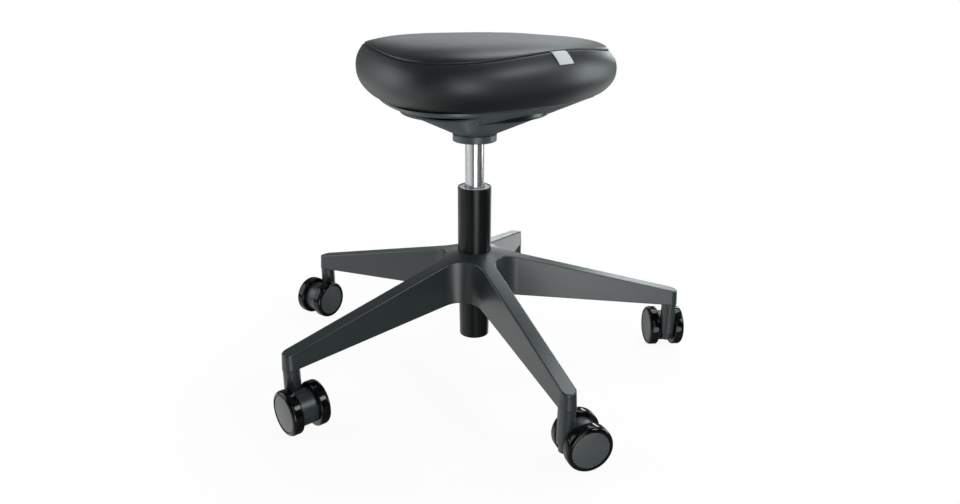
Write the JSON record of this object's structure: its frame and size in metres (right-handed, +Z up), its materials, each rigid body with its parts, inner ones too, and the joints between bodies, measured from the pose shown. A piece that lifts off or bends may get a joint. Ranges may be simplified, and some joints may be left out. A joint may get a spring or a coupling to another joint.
{
  "type": "swivel stool",
  "caption": "Backless swivel stool with a rounded triangular padded seat, conical carrier with a pull-up release ring, height-adjustable gas column and star base on castors.",
  "frame": {"origin": "on the floor, on the axis of the gas column", "axes": "+Z up along the column; the seat's first corner points 13.9 degrees from +X towards +Y"},
  "size_m": [0.6506, 0.663, 0.4875],
  "materials": {
    "leatherette": "embossed leatherette, satin",
    "woven_label": "plain woven tab",
    "base_paint": "fine textured powder coat, satin",
    "tube_paint": "black stoved paint, semi-gloss",
    "chrome": "polished chrome plate",
    "carrier_plastic": "moulded glass-filled nylon, fine grain",
    "ring_plastic": "polished ABS",
    "bush_plastic": "acetal, as moulded",
    "castor_plastic": "moulded nylon",
    "tread": "smooth polyurethane",
    "cap_plastic": "moulded nylon, satin",
    "steel": "turned steel",
    "rubber": "moulded rubber",
    "plywood": "moulded plywood"
  },
  "bodies": {
    "base": {"star_base": "base_paint", "column_tube": "tube_paint", "guide_bush": "bush_plastic"},
    "spindle": {"piston_rod": "steel", "piston": "steel", "bearing_washer": "steel", "ball_cage": "steel", "buffer": "rubber", "rod_clip": "steel"},
    "seat": {"inner_tube": "chrome", "rod_guide": "bush_plastic", "column_socket": "carrier_plastic", "seat_carrier": "carrier_plastic", "seat_pan": "carrier_plastic", "seat_board": "plywood", "seat_cushion": "leatherette", "seam_label": "woven_label", "carrier_screws": "steel", "threaded_inserts": "steel", "guide_bolts": "steel", "lever_bracket": "steel", "lever_pin": "steel"},
    "ring": {"release_ring": "ring_plastic"},
    "lever": {"release_lever": "steel"},
    "button": {"valve_button": "steel"},
    "castor_1": {"castor_1_housing": "castor_plastic", "castor_1_stem": "steel", "castor_1_axle": "steel"},
    "wheel_1_left": {"castor_1_wheel_left": "tread", "castor_1_cap_left": "cap_plastic"},
    "wheel_1_right": {"castor_1_wheel_right": "tread", "castor_1_cap_right": "cap_plastic"},
    "castor_2": {"castor_2_housing": "castor_plastic", "castor_2_stem": "steel", "castor_2_axle": "steel"},
    "wheel_2_left": {"castor_2_wheel_left": "tread", "castor_2_cap_left": "cap_plastic"},
    "wheel_2_right": {"castor_2_wheel_right": "tread", "castor_2_cap_right": "cap_plastic"},
    "castor_3": {"castor_3_housing": "castor_plastic", "castor_3_stem": "steel", "castor_3_axle": "steel"},
    "wheel_3_left": {"castor_3_wheel_left": "tread", "castor_3_cap_left": "cap_plastic"},
    "wheel_3_right": {"castor_3_wheel_right": "tread", "castor_3_cap_right": "cap_plastic"},
    "castor_4": {"castor_4_housing": "castor_plastic", "castor_4_stem": "steel", "castor_4_axle": "steel"},
    "wheel_4_left": {"castor_4_wheel_left": "tread", "castor_4_cap_left": "cap_plastic"},
    "wheel_4_right": {"castor_4_wheel_right": "tread", "castor_4_cap_right": "cap_plastic"},
    "castor_5": {"castor_5_housing": "castor_plastic", "castor_5_stem": "steel", "castor_5_axle": "steel"},
    "wheel_5_left": {"castor_5_wheel_left": "tread", "castor_5_cap_left": "cap_plastic"},
    "wheel_5_right": {"castor_5_wheel_right": "tread", "castor_5_cap_right": "cap_plastic"}
  },
  "joints": [
    {"name": "seat_swivel", "type": "hinge", "parent": "base", "child": "spindle", "pos_m": [0, 0, 0.05], "axis": [0, 0, 1], "continuous": true},
    {"name": "seat_lift", "type": "slide", "parent": "spindle", "child": "seat", "axis": [0, 0, 1], "range_m": [-0.055, 0.06]},
    {"name": "ring_pull", "type": "slide", "parent": "seat", "child": "ring", "axis": [0, 0, 1], "range_m": [0, 0.004], "stiffness_N_per_m": 2000, "springref_m": -0.002},
    {"name": "lever_tilt", "type": "hinge", "parent": "seat", "child": "lever", "pos_m": [-0.02774, 0.02882, 0.3983], "axis": [0.7206, 0.6934, 0], "range_deg": [0, 5.1]},
    {"name": "button_press", "type": "slide", "parent": "seat", "child": "button", "axis": [0, 0, 1], "range_m": [-0.0037, 0]},
    {"name": "castor_1_swivel", "type": "hinge", "parent": "base", "child": "castor_1", "pos_m": [0.31053, 0.01704, 0.05], "axis": [0, 0, 1], "continuous": true},
    {"name": "wheel_1_left_spin", "type": "hinge", "parent": "castor_1", "child": "wheel_1_left", "pos_m": [0.30938, 0.039, 0.031], "axis": [-0.9986, -0.0523, 0], "continuous": true},
    {"name": "wheel_1_right_spin", "type": "hinge", "parent": "castor_1", "child": "wheel_1_right", "pos_m": [0.30938, 0.039, 0.031], "axis": [-0.9986, -0.0523, 0], "continuous": true},
    {"name": "castor_2_swivel", "type": "hinge", "parent": "base", "child": "castor_2", "pos_m": [0.07976, 0.3006, 0.05], "axis": [0, 0, 1], "continuous": true},
    {"name": "wheel_2_left_spin", "type": "hinge", "parent": "castor_2", "child": "wheel_2_left", "pos_m": [0.05936, 0.30884, 0.031], "axis": [-0.3746, -0.9272, 0], "continuous": true},
    {"name": "wheel_2_right_spin", "type": "hinge", "parent": "castor_2", "child": "wheel_2_right", "pos_m": [0.05936, 0.30884, 0.031], "axis": [-0.3746, -0.9272, 0], "continuous": true},
    {"name": "castor_3_swivel", "type": "hinge", "parent": "base", "child": "castor_3", "pos_m": [-0.26124, 0.16875, 0.05], "axis": [0, 0, 1], "continuous": true},
    {"name": "wheel_3_left_spin", "type": "hinge", "parent": "castor_3", "child": "wheel_3_left", "pos_m": [-0.27354, 0.15051, 0.031], "axis": [0.829, -0.5592, 0], "continuous": true},
    {"name": "wheel_3_right_spin", "type": "hinge", "parent": "castor_3", "child": "wheel_3_right", "pos_m": [-0.27354, 0.15051, 0.031], "axis": [0.829, -0.5592, 0], "continuous": true},
    {"name": "castor_4_swivel", "type": "hinge", "parent": "base", "child": "castor_4", "pos_m": [-0.24121, -0.19631, 0.05], "axis": [0, 0, 1], "continuous": true},
    {"name": "wheel_4_left_spin", "type": "hinge", "parent": "castor_4", "child": "wheel_4_left", "pos_m": [-0.22693, -0.21304, 0.031], "axis": [0.7604, 0.6494, 0], "continuous": true},
    {"name": "wheel_4_right_spin", "type": "hinge", "parent": "castor_4", "child": "wheel_4_right", "pos_m": [-0.22693, -0.21304, 0.031], "axis": [0.7604, 0.6494, 0], "continuous": true},
    {"name": "castor_5_swivel", "type": "hinge", "parent": "base", "child": "castor_5", "pos_m": [0.11216, -0.29007, 0.05], "axis": [0, 0, 1], "continuous": true},
    {"name": "wheel_5_left_spin", "type": "hinge", "parent": "castor_5", "child": "wheel_5_left", "pos_m": [0.13314, -0.28346, 0.031], "axis": [-0.3007, 0.9537, 0], "continuous": true},
    {"name": "wheel_5_right_spin", "type": "hinge", "parent": "castor_5", "child": "wheel_5_right", "pos_m": [0.13314, -0.28346, 0.031], "axis": [-0.3007, 0.9537, 0], "continuous": true}
  ],
  "couplings": [
    {"joint": "lever_tilt", "follows": "ring_pull", "rad_per_m": 22.222},
    {"joint": "button_press", "follows": "ring_pull", "ratio": -0.925}
  ]
}
